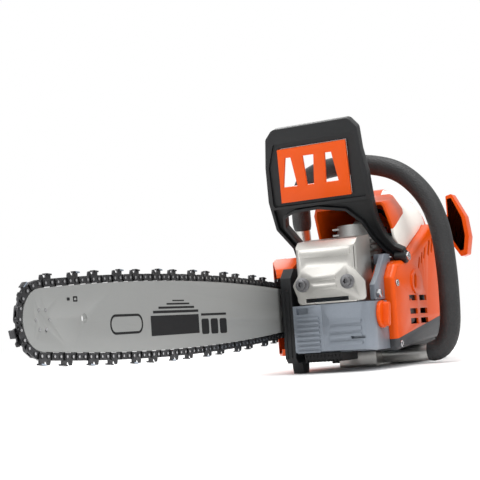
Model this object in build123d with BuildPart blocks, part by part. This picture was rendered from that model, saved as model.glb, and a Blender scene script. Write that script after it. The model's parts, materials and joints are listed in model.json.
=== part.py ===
"""Petrol chainsaw as an assembly of separate pieces, in millimetres.

-X points along the guide bar to its nose, +Y is the bar side, +Z is up. The origin lies on the
resting plane, straight below the crankshaft, at the middle of the engine.
"""
from build123d import *
from math import asin, cos, degrees, pi, radians, sin, sqrt
import os

os.makedirs("parts", exist_ok=True)

# Chain, bar and drive
half_pitch = 8.255          # rivet to rivet, .325 inch chain
drive_link_count = 76
sprocket_teeth = 7
link_thickness = 1.5
strap_thickness = 1.2
strap_gap = 0.1
rivet_radius = 2.0
strap_half_height = 3.1
tang_depth = 6.6
cutter_height = 7.6
rail_drop = 3.5             # rivet line above the bar's rail
belly_half_height = 31.8    # bar's half height at its widest
nose_radius = 24.5          # bar's nose
bar_thickness = 4.4
bar_plane = 61.0
bar_tail = -33.0
groove_depth = 7.2
groove_width = 1.8
stud_radius = 4.0
stud_places = (-88.0, -60.0)

# Engine
shaft_height = 72.0
bore_radius = 22.5
stroke = 32.0
rod_length = 56.0
piston_clearance = 0.05
crown_height = 16.0
skirt_height = 14.0
web_radius = 25.0
web_inner = 5.6
web_outer = 15.5
chamber_radius = 29.5
chamber_half_width = 16.5
shaft_radius = 7.5
bearing_radius = 17.5
bearing_width = 11.0
run_gap = 0.03              # radial clearance of running shafts
free_gap = 0.3              # clearance between bodies that move apart
pin_radius = 5.5
deck_height = 104.0
head_height = 168.0

# Casings
case_front = -118.0
case_rear = 62.0
tank_top = 75.0
case_split = 7.0
case_right = 41.0
case_left = -52.0
chamber_left = -33.0
housing_right = 54.0
cover_wall = 2.5
cover_outer = 91.0
starter_outer = -61.0
starter_inner = -35.0
flywheel_radius = 46.0
top_height = 216.0
top_left = -50.0
top_right = 44.0

# Handles
tube_radius = 9.5
grip_radius = 12.0
case_bottom = grip_radius + tube_radius + 0.5
handle_plane = 20.0
rear_handle_half = 17.0
pin_gap = 0.05              # radial clearance of a pin in its hole
pin_inset = 0.2
trigger_pivot = (185.0, 110.0)
lockout_pivot = (206.0, 140.0)
switch_pivot = (138.0, 152.0)
control_pins = [(trigger_pivot, 3.0), (lockout_pivot, 2.0), (switch_pivot, 1.8)]
control_half = 5.5          # half width of the trigger, lockout and switch
guard_pivot_x = -18.0
guard_pivot_z = 125.0
guard_depth = 11.0
guard_wall = 3.2
guard_web = 4.0
recess_depth = 4.0
guard_lean = 21.5


def side(y):
    """Plane facing -Y at the given Y, with X to the right and Z up."""
    return Plane(origin=(0, y, 0), x_dir=(1, 0, 0), z_dir=(0, -1, 0))


def front(x):
    """Plane facing -X at the given X, with -Y to the right and Z up."""
    return Plane(origin=(x, 0, 0), x_dir=(0, -1, 0), z_dir=(-1, 0, 0))


crank = (0, shaft_height)

# ---------------------------------------------------------------- chain line
sprocket_pitch_radius = half_pitch / (2 * sin(pi / (2 * sprocket_teeth)))
nose_pitch_radius = nose_radius + rail_drop
belly = belly_half_height + rail_drop
loop_length = 2 * drive_link_count * half_pitch


def chain_line(belly_x):
    """Arc radius, nose distance, both end angles and loop length for a belly this far out."""
    radius = (belly_x**2 / (belly - sprocket_pitch_radius) + belly + sprocket_pitch_radius) / 2
    nose_run = sqrt((belly - nose_pitch_radius) * (2 * radius - belly - nose_pitch_radius))
    rear_angle = asin(belly_x / (radius - sprocket_pitch_radius))
    nose_angle = asin(nose_run / (radius - nose_pitch_radius))
    length = 2 * radius * (rear_angle + nose_angle)
    length += sprocket_pitch_radius * (pi - 2 * rear_angle)
    length += nose_pitch_radius * (pi - 2 * nose_angle)
    return radius, belly_x + nose_run, rear_angle, nose_angle, length


near, far = loop_length / 8, loop_length / 2
for halving in range(60):
    belly_x = (near + far) / 2
    if chain_line(belly_x)[4] < loop_length:
        near = belly_x
    else:
        far = belly_x
arc_radius, nose_reach, rear_angle, nose_angle, length = chain_line(belly_x)
nose = (-nose_reach, shaft_height)
arc_drop = arc_radius - belly

# Each stretch: centre, radius and its two angles from straight up, turning towards the rear
stretches = [
    ((-belly_x, shaft_height - arc_drop), arc_radius, -nose_angle, rear_angle),
    (crank, sprocket_pitch_radius, rear_angle, pi - rear_angle),
    ((-belly_x, shaft_height + arc_drop), arc_radius, pi - rear_angle, pi + nose_angle),
    (nose, nose_pitch_radius, pi + nose_angle, 2 * pi - nose_angle),
]


def rivet_spot(number):
    """Where a rivet sits on the chain line, and its angle from straight up."""
    distance = number * half_pitch % loop_length
    for centre, radius, first, last in stretches:
        span = radius * (last - first)
        if distance <= span:
            break
        distance -= span
    angle = first + min(distance, span) / radius
    return Vector(centre[0] + radius * sin(angle), bar_plane, centre[1] + radius * cos(angle)), angle


def link_place(number):
    """Location between two rivets: x along the chain, y outwards, z to -Y."""
    here = rivet_spot(number)[0]
    there = rivet_spot(number + 1)[0]
    return Plane(origin=(here + there) / 2, x_dir=there - here, z_dir=(0, -1, 0)).location


link_places = [link_place(2 * i) for i in range(drive_link_count)]
strap_places = [link_place(2 * i + 1) for i in range(drive_link_count)]
strap_angles = [rivet_spot(2 * i + 1.5)[1] for i in range(drive_link_count)]
sprocket_first = min(strap_angles, key=lambda angle: abs(angle - pi / 2))

with BuildPart() as one_drive_link:
    with BuildSketch(Plane.XY):
        SlotCenterToCenter(half_pitch, 2 * strap_half_height)
        with BuildLine():
            Polyline((-4.4, -2), (4.4, -2), (0.6, -tang_depth), (-1.6, -tang_depth), close=True)
        make_face()
        with Locations((-half_pitch / 2, 0), (half_pitch / 2, 0)):
            Circle(rivet_radius + 0.1, mode=Mode.SUBTRACT)
    extrude(amount=link_thickness / 2, both=True)

strap_inner = link_thickness / 2 + strap_gap
strap_outer = strap_inner + strap_thickness

with BuildPart() as one_tie_strap:
    for face in (-1, 1):
        with BuildSketch(Plane.XY.offset(face * (strap_inner + strap_outer) / 2)):
            SlotCenterToCenter(half_pitch, 2 * strap_half_height)
        extrude(amount=strap_thickness / 2, both=True)
    with BuildSketch(Plane.XY):
        with Locations((-half_pitch / 2, 0), (half_pitch / 2, 0)):
            Circle(rivet_radius)
    extrude(amount=strap_outer + 0.5, both=True)


def cutter(hand):
    """Cutter with its opposite tie strap and rivets; hand is the side of the tooth."""
    with BuildPart() as tooth:
        add(one_tie_strap.part)
        with BuildSketch(Plane.XY.offset(hand * (strap_inner + strap_outer) / 2)):
            with BuildLine():
                Polyline((-7, 0), (-7.3, 4), (-6.4, cutter_height - 0.9), (-3.6, cutter_height - 0.7),
                         (-2.2, 4.4), (0.4, 4.2), (1.2, cutter_height), (7.2, cutter_height - 0.8),
                         (6.9, 0), close=True)
            make_face()
        extrude(amount=strap_thickness / 2, both=True)
        with BuildSketch(Plane.XY.offset(hand * 1.9)):
            with BuildLine():
                Polyline((0.9, cutter_height), (7.2, cutter_height - 0.8), (7.2, cutter_height - 2),
                         (1.6, cutter_height - 1.3), close=True)
            make_face()
        extrude(amount=2.4, both=True)
    return tooth.part


right_tooth = cutter(-1)
left_tooth = cutter(1)

with BuildPart() as drive_links:
    with Locations(*link_places):
        add(one_drive_link.part)

with BuildPart() as tie_straps:
    with Locations(*strap_places[1::2]):
        add(one_tie_strap.part)

with BuildPart() as cutters:
    with Locations(*strap_places[0::4]):
        add(right_tooth)
    with Locations(*strap_places[2::4]):
        add(left_tooth)


# ---------------------------------------------------------------- guide bar
def rail(stretch, angle, inset):
    """Point of the bar's edge, inset from the chain line."""
    centre, radius = stretches[stretch][:2]
    return (centre[0] + (radius - inset) * sin(angle), centre[1] + (radius - inset) * cos(angle))


def bar_outline(inset, tail):
    """Face with the bar's outline, inset from the chain line and closed by a straight tail."""
    tail_angle = asin((tail + belly_x) / (stretches[0][1] - inset))
    with BuildSketch(Plane.XY) as outline:
        with BuildLine():
            top = ThreePointArc(rail(0, -nose_angle, inset), rail(0, 0, inset), rail(0, tail_angle, inset))
            bottom = ThreePointArc(rail(2, pi - tail_angle, inset), rail(2, pi, inset),
                                   rail(2, pi + nose_angle, inset))
            ThreePointArc(bottom @ 1, (nose[0] - nose_pitch_radius + inset, nose[1]), top @ 0)
            Line(top @ 1, bottom @ 0)
        make_face()
    return outline.sketch


with BuildPart() as guide_bar:
    with BuildSketch(side(bar_plane)):
        add(bar_outline(rail_drop, bar_tail))
        fillet(vertices().sort_by(Axis.X)[-2:], 6)
        with Locations(((stud_places[0] + stud_places[1]) / 2, shaft_height)):
            SlotCenterToCenter(52, 2 * stud_radius + 0.4, mode=Mode.SUBTRACT)
        with Locations((-74, shaft_height + 15), (-74, shaft_height - 15)):
            Circle(3.5, mode=Mode.SUBTRACT)
        with Locations((nose[0] + 56, shaft_height)):
            Circle(4, mode=Mode.SUBTRACT)
        with Locations((nose[0] + 4, shaft_height - 8.5)):
            Circle(1.4, mode=Mode.SUBTRACT)
        with Locations(nose):
            with PolarLocations(8.6, 6):
                Circle(1.4, mode=Mode.SUBTRACT)
    extrude(amount=bar_thickness / 2, both=True)
    with BuildSketch(side(bar_plane)):
        add(bar_outline(rail_drop - 1, bar_tail + 2))
        add(bar_outline(rail_drop + groove_depth, bar_tail - 9), mode=Mode.SUBTRACT)
        with Locations(nose):
            Circle(nose_radius + 0.5)
            Circle(4.4, mode=Mode.SUBTRACT)
            with PolarLocations(8.6, 6):
                Circle(2.4, mode=Mode.SUBTRACT)
    extrude(amount=groove_width / 2, both=True, mode=Mode.SUBTRACT)

nose_wheel_radius = nose_pitch_radius - tang_depth - 0.4
with BuildPart() as nose_sprocket:
    with BuildSketch(side(bar_plane)):
        with Locations(nose):
            Circle(nose_wheel_radius - 3)
            with PolarLocations(nose_wheel_radius - 3, 11):
                Rectangle(6, 4.4)
            Circle(11.5, mode=Mode.SUBTRACT)
    extrude(amount=(groove_width - 0.3) / 2, both=True)

with BuildPart() as nose_rivets:
    with BuildSketch(side(bar_plane)):
        with Locations(nose):
            with PolarLocations(8.6, 6):
                Circle(1.35)
    extrude(amount=bar_thickness / 2 + 0.2, both=True)

# ---------------------------------------------------------------- crankcase
case_profile = [(case_front, 24), (case_front, tank_top), (-48, tank_top), (-48, deck_height),
                (46, deck_height), (case_rear, 92), (case_rear, case_bottom), (case_front + 6, case_bottom)]

oil_cap_place = (-92, 60)
oil_neck_radius = 12.0
muffler_bolt_places = [(-26, 98), (27, 98)]     # -Y and Z on the front planes
muffler_bolt_radius = 3.0


with BuildPart() as chamber_void:
    with BuildSketch(side(0)):
        with Locations(crank):
            Circle(chamber_radius)
    extrude(amount=chamber_half_width, both=True)
    with BuildSketch(side(0)):
        with Locations(crank):
            Circle(bearing_radius)
    extrude(amount=chamber_half_width + bearing_width, both=True)
    with BuildSketch(side(0)):
        with Locations(crank):
            Circle(shaft_radius + 1.5)
    extrude(amount=80, both=True)
    with BuildSketch(Plane.XY.offset(shaft_height + 5)):
        Circle(bore_radius + 3)
    extrude(amount=50)
    with BuildSketch(front(0)):
        with Locations(*muffler_bolt_places):
            Circle(muffler_bolt_radius + 0.05)
    extrude(amount=60)


with BuildPart() as crankcase_right:
    with BuildSketch(side(case_right)):
        with BuildLine():
            Polyline(*case_profile, close=True)
        make_face()
    extrude(amount=case_right - case_split)
    with BuildSketch(front(case_front)):
        for row in range(8):
            with Locations((-(case_split + 17), 24 + 5.2 * row)):
                Rectangle(27, 2.2)
    extrude(amount=1.8)
    with BuildSketch(front(case_front)):
        with Locations((-30, 69)):
            Rectangle(14, 7)
    extrude(amount=-6, mode=Mode.SUBTRACT)
    with BuildSketch(side(case_right - 5)):
        with Locations((-74, 44)):
            Rectangle(64, 36)
    extrude(amount=24, mode=Mode.SUBTRACT)
    add(chamber_void.part, mode=Mode.SUBTRACT)

with BuildPart() as crankcase_left:
    with BuildSketch(side(case_split)):
        with BuildLine():
            Polyline(*case_profile, close=True)
        make_face()
    extrude(amount=case_split - case_left)
    with BuildSketch(side(chamber_left)):
        with Locations((0, 100)):
            Rectangle(136, 300)
    extrude(amount=60, mode=Mode.SUBTRACT)
    with BuildSketch(side(-40)):
        with Locations((-57, 100)):
            Rectangle(24, 49)
    extrude(amount=60, mode=Mode.SUBTRACT)
    corner = edges().filter_by(Axis.Z).sort_by_distance((case_front, case_left, 50))[0]
    fillet(corner, 12)
    with BuildSketch(front(case_front)):
        for row in range(4):
            with Locations((20, 31 + 8 * row)):
                SlotOverall(38, 4)
    extrude(amount=2)
    with BuildSketch(side(case_left)):
        with Locations(oil_cap_place):
            Circle(oil_neck_radius + 4)
    extrude(amount=14, both=True)
    with BuildSketch(side(case_left - 14)):
        with Locations(oil_cap_place):
            Circle(oil_neck_radius + 6)
    extrude(amount=-14, mode=Mode.SUBTRACT)
    with BuildSketch(side(case_left)):
        with Locations(oil_cap_place):
            Circle(oil_neck_radius)
    extrude(amount=-14, mode=Mode.SUBTRACT)
    with BuildSketch(Plane.XY.offset(30)):
        with Locations((-84, -20)):
            Rectangle(40, 42)
    extrude(amount=36, mode=Mode.SUBTRACT)
    with BuildSketch(front(case_front - 2)):
        with Locations((34, 37)):
            Rectangle(16, 3)
    extrude(amount=-8, mode=Mode.SUBTRACT)
    add(chamber_void.part, mode=Mode.SUBTRACT)

with BuildPart() as front_pad:
    with BuildSketch(side(32)):
        with BuildLine():
            Polyline((-116, case_bottom - 0.1), (-66, case_bottom - 0.1), (-66, 12), (-112, 12), close=True)
        make_face()
    extrude(amount=44)
    with BuildSketch(Plane.XY.offset(12)):
        for rib in range(10):
            with Locations((-91, -9.5 + 4.3 * rib)):
                Rectangle(60, 1.8)
    extrude(amount=2.5, mode=Mode.SUBTRACT)
    with BuildSketch(front(-118)):
        for rib in range(10):
            with Locations((9.5 - 4.3 * rib, 14)):
                Rectangle(1.8, 12)
    extrude(amount=-4.5, mode=Mode.SUBTRACT)

# ---------------------------------------------------------------- engine
top_pin = shaft_height + stroke / 2 + rod_length
crank_pin_height = shaft_height + stroke / 2
exhaust_height = 128.0
intake_height = 124.0
plug_lean = 55.0
plug_seat = (14, 0, 168)
plug_axis = (sin(radians(plug_lean)), 0, cos(radians(plug_lean)))


def along_plug(distance):
    """Point on the spark plug's axis, measured from its seat."""
    return tuple(plug_seat[i] + plug_axis[i] * distance for i in range(3))


with BuildPart() as cylinder:
    with BuildSketch(Plane.XY.offset(98)):
        Circle(bore_radius + 2.9)
    extrude(amount=head_height - 98)
    with BuildSketch(Plane.XY.offset(deck_height)):
        RectangleRounded(66, 58, 8)
    extrude(amount=5)
    for fin in range(8):
        with BuildSketch(Plane.XY.offset(114 + 7 * fin)):
            RectangleRounded(84, 52, 14)
            if fin > 4:
                with Locations((-32, 0)):
                    Rectangle(28, 60, mode=Mode.SUBTRACT)
        extrude(amount=2.2)
    with BuildSketch(front(0)):
        with Locations((0, exhaust_height)):
            RectangleRounded(44, 26, 5)
    extrude(amount=46)
    with BuildSketch(front(0)):
        with Locations((0, intake_height)):
            RectangleRounded(40, 26, 5)
    extrude(amount=-46)
    with BuildSketch(Plane(origin=along_plug(-6), z_dir=plug_axis)):
        Circle(11)
    extrude(amount=14)
    with BuildSketch(Plane.XY.offset(90)):
        Circle(bore_radius)
    extrude(amount=top_pin + crown_height + 2 - 90, mode=Mode.SUBTRACT)
    with BuildSketch(front(0)):
        with Locations((0, exhaust_height)):
            Circle(10)
    extrude(amount=60, mode=Mode.SUBTRACT)
    with BuildSketch(front(0)):
        with Locations((0, intake_height)):
            Circle(9)
    extrude(amount=-60, mode=Mode.SUBTRACT)
    with BuildSketch(Plane(origin=along_plug(-14), z_dir=plug_axis)):
        Circle(5.05)
    extrude(amount=40, mode=Mode.SUBTRACT)
    with BuildSketch(Plane(origin=along_plug(8.05), z_dir=plug_axis)):
        Circle(10)
    extrude(amount=30, mode=Mode.SUBTRACT)

piston_radius = bore_radius - piston_clearance
pin_boss_inner = 9.5
pin_boss_outer = piston_radius - 2.4
with BuildPart() as piston:
    with BuildSketch(Plane.XY.offset(top_pin - skirt_height)):
        Circle(piston_radius)
    extrude(amount=skirt_height + crown_height)
    with BuildSketch(Plane.XY.offset(top_pin - skirt_height)):
        Circle(piston_radius - 2.5)
    extrude(amount=skirt_height + crown_height - 4, mode=Mode.SUBTRACT)
    for boss in (-pin_boss_inner, pin_boss_outer):
        with BuildSketch(side(boss)):
            with Locations((0, top_pin)):
                Circle(8)
        extrude(amount=pin_boss_outer - pin_boss_inner)
    with BuildSketch(side(30)):
        with Locations((0, top_pin)):
            Circle(5.02)
    extrude(amount=60, mode=Mode.SUBTRACT)
    for ring in (6.0, 11.0):
        with BuildSketch(Plane.XY.offset(top_pin + ring)):
            Circle(bore_radius + 1)
            Circle(piston_radius - 1.6, mode=Mode.SUBTRACT)
        extrude(amount=1.6, mode=Mode.SUBTRACT)

with BuildPart() as piston_rings:
    for ring in (6.0, 11.0):
        with BuildSketch(Plane.XY.offset(top_pin + ring + 0.05)):
            Circle(bore_radius - 0.02)
            Circle(piston_radius - 1.5, mode=Mode.SUBTRACT)
        extrude(amount=1.5)

with BuildPart() as wrist_pin:
    with BuildSketch(side(17.4)):
        with Locations((0, top_pin)):
            Circle(5)
            Circle(3, mode=Mode.SUBTRACT)
    extrude(amount=34.8)

with BuildPart() as connecting_rod:
    with BuildSketch(side(4.5)):
        with Locations((0, top_pin)):
            Circle(7.5)
        with Locations((0, crank_pin_height)):
            Circle(10)
        with Locations((0, (top_pin + crank_pin_height) / 2)):
            Rectangle(8, rod_length)
        with Locations((0, top_pin)):
            Circle(5.03, mode=Mode.SUBTRACT)
        with Locations((0, crank_pin_height)):
            Circle(pin_radius + 0.03, mode=Mode.SUBTRACT)
    extrude(amount=9)

with BuildPart() as crankpin:
    with BuildSketch(side(web_inner - free_gap)):
        with Locations((0, crank_pin_height)):
            Circle(pin_radius)
    extrude(amount=2 * (web_inner - free_gap))

# Crankshaft ends: clutch side +Y, flywheel side -Y
clutch_end = 87.0
flywheel_end = -50.0
flywheel_seat_radius = 5.0
with BuildPart() as crankshaft:
    for face in (web_outer, -web_inner):
        with BuildSketch(side(face)):
            with Locations(crank):
                Circle(web_radius)
        extrude(amount=web_outer - web_inner)
    with BuildSketch(side(68)):
        with Locations(crank):
            Circle(shaft_radius)
    extrude(amount=68 - web_outer)
    with BuildSketch(side(clutch_end)):
        with Locations(crank):
            Circle(flywheel_seat_radius)
    extrude(amount=clutch_end - 68)
    with BuildSketch(side(-web_outer)):
        with Locations(crank):
            Circle(shaft_radius)
    extrude(amount=-web_outer - chamber_left + 2.5)
    with BuildSketch(side(chamber_left - 2)):
        with Locations(crank):
            Circle(flywheel_seat_radius)
    extrude(amount=chamber_left - 2 - flywheel_end)

with BuildPart() as main_bearings:
    for face in (chamber_half_width + bearing_width, -chamber_half_width):
        with BuildSketch(side(face)):
            with Locations(crank):
                Circle(bearing_radius)
                Circle(shaft_radius + run_gap, mode=Mode.SUBTRACT)
        extrude(amount=bearing_width)
        with BuildSketch(side(face + 0.5)):
            with Locations(crank):
                Circle(bearing_radius - 3)
                Circle(shaft_radius + 3, mode=Mode.SUBTRACT)
        extrude(amount=1.5, mode=Mode.SUBTRACT)

with BuildPart() as flywheel:
    with BuildSketch(side(-36)):
        with Locations(crank):
            Circle(flywheel_radius)
    extrude(amount=3.5)
    with BuildSketch(side(-39)):
        with Locations(crank):
            Circle(11)
            with PolarLocations(33, 14):
                Rectangle(18, 2.2)
    extrude(amount=7)
    with BuildSketch(side(-30)):
        with Locations(crank):
            Circle(flywheel_seat_radius + 0.02)
    extrude(amount=20, mode=Mode.SUBTRACT)
    with BuildSketch(side(-39)):
        with Locations((flywheel_radius - 9, shaft_height)):
            Rectangle(12, 18)
    extrude(amount=6)

with BuildPart() as ignition_coil:
    with BuildSketch(side(-37)):
        with Locations((62, 106)):
            Rectangle(22, 26)
        with Locations((52, 98), (62, 92)):
            Rectangle(10, 8)
    extrude(amount=12)
    with BuildSketch(side(-30)):
        with Locations(crank):
            Circle(flywheel_radius + 0.8)
    extrude(amount=30, mode=Mode.SUBTRACT)

with BuildPart() as spark_plug:
    with BuildSketch(Plane(origin=along_plug(-4), z_dir=plug_axis)):
        Circle(5)
    extrude(amount=12.1)
    with BuildSketch(Plane(origin=along_plug(8.1), z_dir=plug_axis)):
        RegularPolygon(9, 6)
    extrude(amount=8)
    with BuildSketch(Plane(origin=along_plug(16), z_dir=plug_axis)):
        Circle(4.2)
    extrude(amount=16)

with BuildPart() as plug_boot:
    with BuildSketch(Plane(origin=along_plug(17), z_dir=plug_axis)):
        Circle(7.5)
    extrude(amount=17)
    with BuildSketch(Plane(origin=along_plug(10), z_dir=plug_axis)):
        Circle(4.25)
    extrude(amount=22.2, mode=Mode.SUBTRACT)

lead_start = along_plug(34)
lead_points = [lead_start, along_plug(39), (60, -10, 188), (70, -24, 172), (70, -33, 150), (65, -41, 132),
               (63, -43, 119.6)]
with BuildPart() as plug_lead:
    with BuildLine() as lead_line:
        FilletPolyline(*lead_points, radius=4)
    with BuildSketch(Plane(origin=lead_start, z_dir=plug_axis)):
        Circle(2.5)
    sweep()

# ---------------------------------------------------------------- clutch and oil pump
sprocket_rim = sprocket_pitch_radius - strap_half_height - 0.9
drum_radius = 37.0
drum_inner = 34.0
drum_back = 66.0
drum_mouth = 86.0
with BuildPart() as clutch_drum:
    with BuildSketch(side(drum_mouth)):
        with Locations(crank):
            Circle(drum_radius)
    extrude(amount=drum_mouth - drum_back)
    with BuildSketch(side(drum_mouth)):
        with Locations(crank):
            Circle(drum_inner)
    extrude(amount=drum_mouth - drum_back - 2, mode=Mode.SUBTRACT)
    with BuildSketch(side(drum_back)):
        with Locations(crank):
            Circle(sprocket_rim)
    extrude(amount=drum_back - 56.5)
    with BuildSketch(side(bar_plane)):
        with Locations(crank):
            Circle(sprocket_rim + 4)
            Circle(sprocket_pitch_radius - tang_depth - 0.9, mode=Mode.SUBTRACT)
    extrude(amount=link_thickness / 2 + 0.15, both=True, mode=Mode.SUBTRACT)
    with BuildSketch(side(bar_plane)):
        for tooth in range(sprocket_teeth):
            turn = sprocket_first + tooth * 2 * pi / sprocket_teeth
            reach = sprocket_rim - 2.2
            with Locations(Location((reach * sin(turn), shaft_height + reach * cos(turn)), 90 - degrees(turn))):
                Rectangle(4, 2)
    extrude(amount=link_thickness / 2 + 0.2, both=True)
    with BuildSketch(side(100)):
        with Locations(crank):
            Circle(shaft_radius + run_gap)
    extrude(amount=60, mode=Mode.SUBTRACT)

shoe_outer = drum_inner - 1.2
with BuildPart() as clutch_hub:
    with BuildSketch(side(84)):
        with Locations(crank):
            Circle(12)
            with PolarLocations(15, 3):
                Rectangle(22, 8)
            Circle(flywheel_seat_radius + 0.02, mode=Mode.SUBTRACT)
    extrude(amount=14)

with BuildPart() as clutch_shoes:
    with BuildSketch(side(83)):
        with Locations(crank):
            Circle(shoe_outer)
            Circle(14, mode=Mode.SUBTRACT)
            with PolarLocations(15, 3):
                Rectangle(24.4, 8.8, mode=Mode.SUBTRACT)
            with PolarLocations(28, 3):
                Rectangle(16, 2, mode=Mode.SUBTRACT)
    extrude(amount=11)

with BuildPart() as brake_band:
    with BuildSketch(side(82)):
        with Locations(crank):
            Circle(drum_radius + 1.8)
            Circle(drum_radius + 0.6, mode=Mode.SUBTRACT)
        with Locations((10, shaft_height + drum_radius)):
            Rectangle(16, 12, mode=Mode.SUBTRACT)
    extrude(amount=12)

with BuildPart() as oil_pump:
    with BuildSketch(side(53)):
        with Locations(crank):
            Circle(14)
        with Locations((-20, 66)):
            RectangleRounded(30, 18, 4)
        with Locations(crank):
            Circle(shaft_radius + 0.4, mode=Mode.SUBTRACT)
    extrude(amount=11)

# ---------------------------------------------------------------- clutch side
with BuildPart() as clutch_housing:
    with BuildSketch(side(housing_right)):
        with BuildLine():
            Polyline((-112, 12), (-101, 12), (-98, 0), (-84, 0), (-81, 12), (case_rear, 14), (case_rear, 90),
                     (40, 104), (-82, 104), (-88, 117), (-107, 118), (-118, 107), (-118, 18), close=True)
        make_face()
    extrude(amount=housing_right - case_right - 0.2)
    with BuildSketch(side(housing_right)):
        with Locations(crank):
            Circle(26)
        with Locations((-24, 66)):
            RectangleRounded(36, 24, 4)
    extrude(amount=30, mode=Mode.SUBTRACT)
    with BuildSketch(side(housing_right + 3.7)):
        with Locations((-76, shaft_height)):
            RectangleRounded(64, 26, 4)
    extrude(amount=3.7)
    with BuildSketch(side(housing_right + 4)):
        with Locations(*[(x, shaft_height) for x in stud_places]):
            Circle(stud_radius + 0.05)
    extrude(amount=20, mode=Mode.SUBTRACT)
    with BuildSketch(front(case_front)):
        for rib in range(2):
            with Locations((-45 - 5 * rib, 50)):
                Rectangle(1.6, 84)
    extrude(amount=-1.2, mode=Mode.SUBTRACT)

cover_inner_face = cover_outer - cover_wall
with BuildPart() as bar_studs:
    with BuildSketch(side(cover_outer + 6)):
        with Locations(*[(x, shaft_height) for x in stud_places]):
            Circle(stud_radius)
    extrude(amount=cover_outer + 6 - case_right - 0.3)

with BuildPart() as bar_nuts:
    with BuildSketch(side(cover_outer + 8)):
        with Locations(*[(x, shaft_height) for x in stud_places]):
            RegularPolygon(7.5, 6)
    extrude(amount=7.9)
    with BuildSketch(side(cover_outer + 7)):
        with Locations(*[(x, shaft_height) for x in stud_places]):
            Circle(stud_radius + 0.02)
    extrude(amount=10, mode=Mode.SUBTRACT)

with BuildPart() as chain_tensioner:
    with BuildSketch(side(bar_plane + bar_thickness / 2)):
        with Locations((-74, shaft_height - 15)):
            Circle(3.3)
    extrude(amount=-10)
    with BuildSketch(front(-104)):
        with Locations((-71, shaft_height - 15)):
            Circle(2.5)
    extrude(amount=-50)

cover_profile = [(-100, 36), (-96, 100), (-80, 120), (-50, 134), (28, 134), (48, 112), (48, 40), (20, 20),
                 (-86, 20)]
with BuildPart() as clutch_cover:
    with BuildSketch(side(cover_outer)):
        with BuildLine() as cover_line:
            Polyline(*cover_profile, close=True)
        make_face()
        fillet(vertices(), 6)
    extrude(amount=cover_outer - housing_right - 0.3)
    outer_edges = faces().sort_by(Axis.Y)[-1].edges()
    fillet(outer_edges, 4)
    with BuildSketch(side(cover_inner_face)):
        with BuildLine():
            Polyline(*cover_profile, close=True)
        make_face()
        fillet(vertices(), 6)
        offset(amount=-cover_wall, mode=Mode.REPLACE)
    extrude(amount=50, mode=Mode.SUBTRACT)
    for x in stud_places:
        with BuildSketch(side(cover_outer)):
            with Locations((x, shaft_height)):
                Circle(9)
        extrude(amount=cover_outer - bar_plane - bar_thickness / 2 - 0.1)
    with BuildSketch(side(cover_outer + 1)):
        with Locations(*[(x, shaft_height) for x in stud_places]):
            Circle(stud_radius + 0.3)
    extrude(amount=40, mode=Mode.SUBTRACT)
    with BuildSketch(side(74)):
        with Locations((-100, shaft_height)):
            Rectangle(30, 88)
    extrude(amount=30, mode=Mode.SUBTRACT)
    with BuildSketch(side(76)):
        with Locations((guard_pivot_x - 6, 130)):
            Rectangle(54, 44)
    extrude(amount=30, mode=Mode.SUBTRACT)
    with BuildSketch(side(72)):
        with Locations((60, 40)):
            Rectangle(60, 20)
    extrude(amount=20, mode=Mode.SUBTRACT)
    for low, high in ((0, shaft_height - 11), (shaft_height + 11, 150)):
        with BuildSketch(Plane.XY.offset(low)):
            with BuildLine():
                Polyline((-106, 64), (-100, 64), (-52, cover_outer + 1), (-106, cover_outer + 1), close=True)
            make_face()
        extrude(amount=high - low, mode=Mode.SUBTRACT)
    for slot in range(4):
        with BuildSketch(side(cover_outer + 1)):
            with Locations(Location((-22 + 11 * slot, 104), 70)):
                SlotOverall(22, 4)
        extrude(amount=cover_wall + 1.2, mode=Mode.SUBTRACT)

# ---------------------------------------------------------------- muffler
shield_front = case_front
shield_rear = -67.5
shield_profile = [(shield_front, tank_top + 1), (shield_front, 137), (-107, 146), (shield_rear, 151),
                  (shield_rear, tank_top + 1)]
shield_left = -37.0
shield_right = 34.0
sheet = 1.2
plate_points = [(-33, 84), (-38, 98), (-27, 114), (-20, 119), (27, 117), (37, 110), (47, 97), (47, 77),
                (-33, 77)]
with BuildPart() as muffler_shield:
    with BuildSketch(side(shield_right)):
        with BuildLine():
            Polyline(*shield_profile, close=True)
        make_face()
        fillet(vertices().group_by(Axis.Y)[-1] + vertices().group_by(Axis.Y)[-2], 4)
    extrude(amount=shield_right - shield_left)
    fillet(edges().filter_by(GeomType.LINE).filter_by(Axis.Z).group_by(Axis.X)[0], 5)
    with BuildSketch(side(shield_right - sheet)):
        with BuildLine():
            Polyline((shield_front + sheet, 0), (shield_front + sheet, 136), (-106.5, 144.6), (-40, 149.6),
                     (-40, 0), close=True)
        make_face()
    extrude(amount=shield_right - shield_left - 2 * sheet, mode=Mode.SUBTRACT)
    with BuildSketch(front(shield_front)):
        with Locations((2, 131)):
            SlotOverall(60, 8)
    extrude(amount=1.6)
    with BuildSketch(front(shield_front + 0.4)):
        with BuildLine():
            Polyline(*plate_points, close=True)
        make_face()
        fillet(vertices(), 4)
    extrude(amount=2.4)
    with BuildSketch(front(shield_front)):
        with Locations((0, 94), (0, 104)):
            SlotOverall(28, 5.5)
    extrude(amount=3.2)
    with BuildSketch(front(shield_front - 5)):
        with Locations(*muffler_bolt_places):
            Circle(muffler_bolt_radius + 0.3)
        with Locations((2, 80)):
            Rectangle(50, 4.5)
    extrude(amount=-12, mode=Mode.SUBTRACT)

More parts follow.
